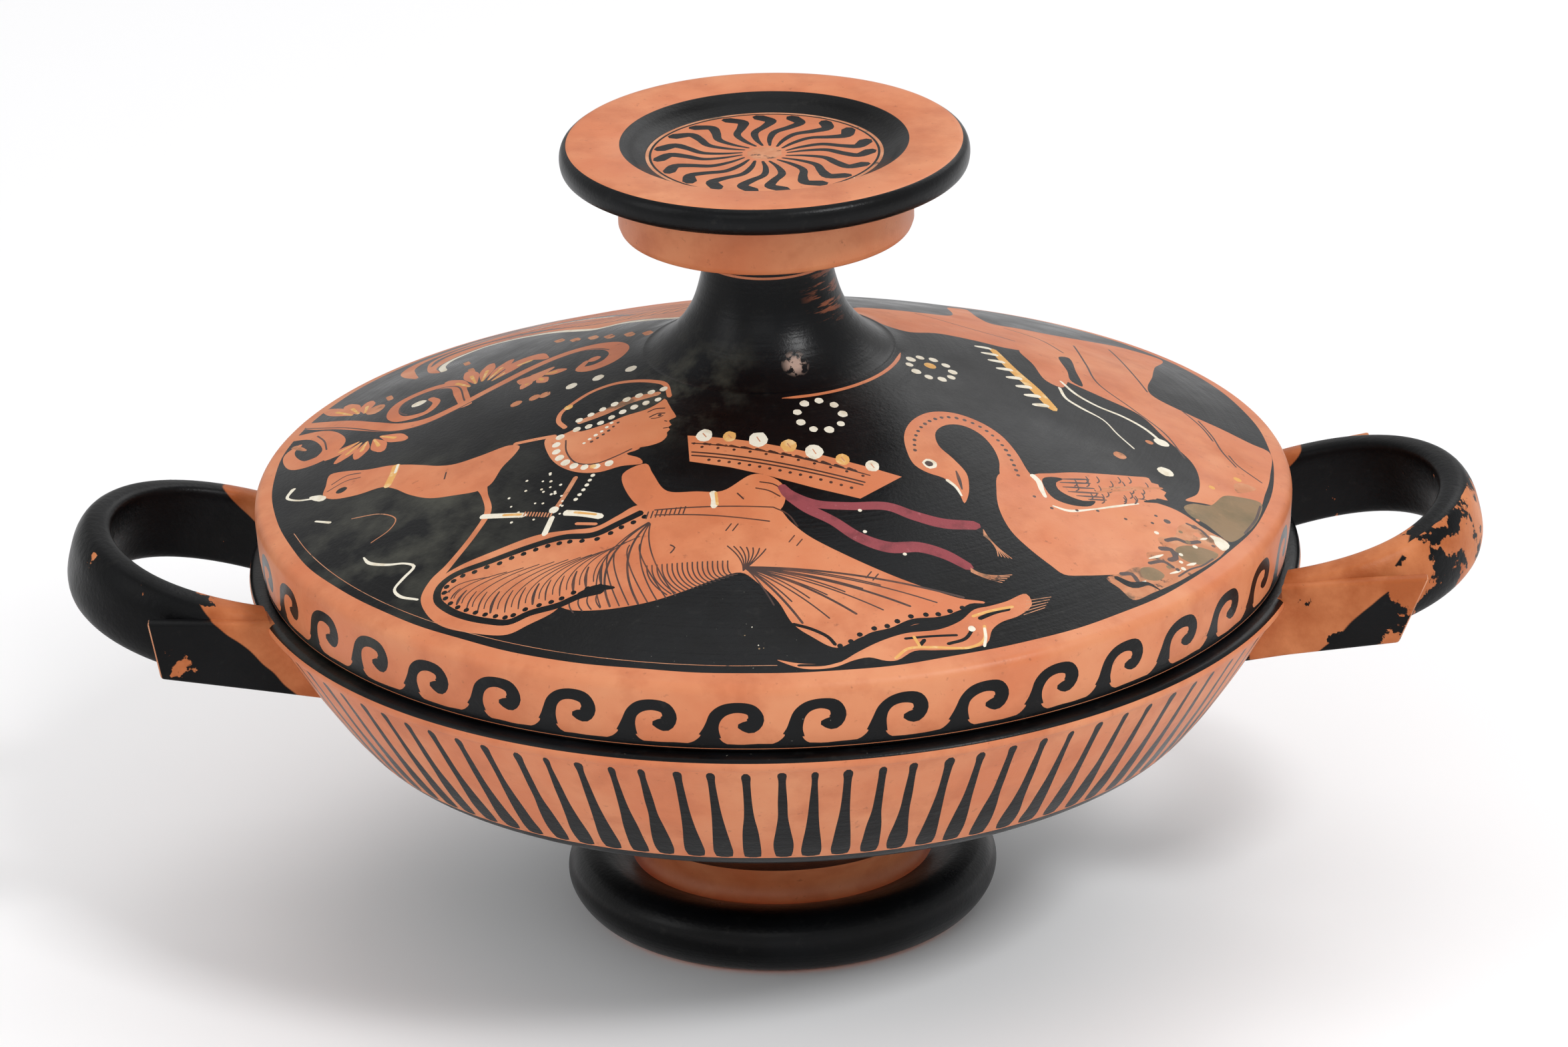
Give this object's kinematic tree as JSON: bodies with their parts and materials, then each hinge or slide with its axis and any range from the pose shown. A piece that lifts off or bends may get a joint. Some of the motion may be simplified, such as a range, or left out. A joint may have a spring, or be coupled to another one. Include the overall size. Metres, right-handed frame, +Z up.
{
  "type": "lekanis",
  "caption": "Shallow lidded bowl of painted clay on a disc foot, with strap handles that have spurs and a domed lid with a tall disc knob.",
  "frame": {"origin": "middle of the resting face under the foot, at the bottom centre of the whole piece", "axes": "+X along the line through the two handles, +Z up along the axis of turning, -Y towards the side that carries the front of the lid's picture"},
  "size_m": [0.3447, 0.256, 0.1985],
  "materials": {
    "painted_clay_bowl": "fired clay with bands of black gloss slip",
    "painted_clay_lid": "fired clay with a red-figure picture reserved in black gloss slip"
  },
  "bodies": {
    "root": {"bowl": "painted_clay_bowl", "lid": "painted_clay_lid"}
  },
  "joints": []
}
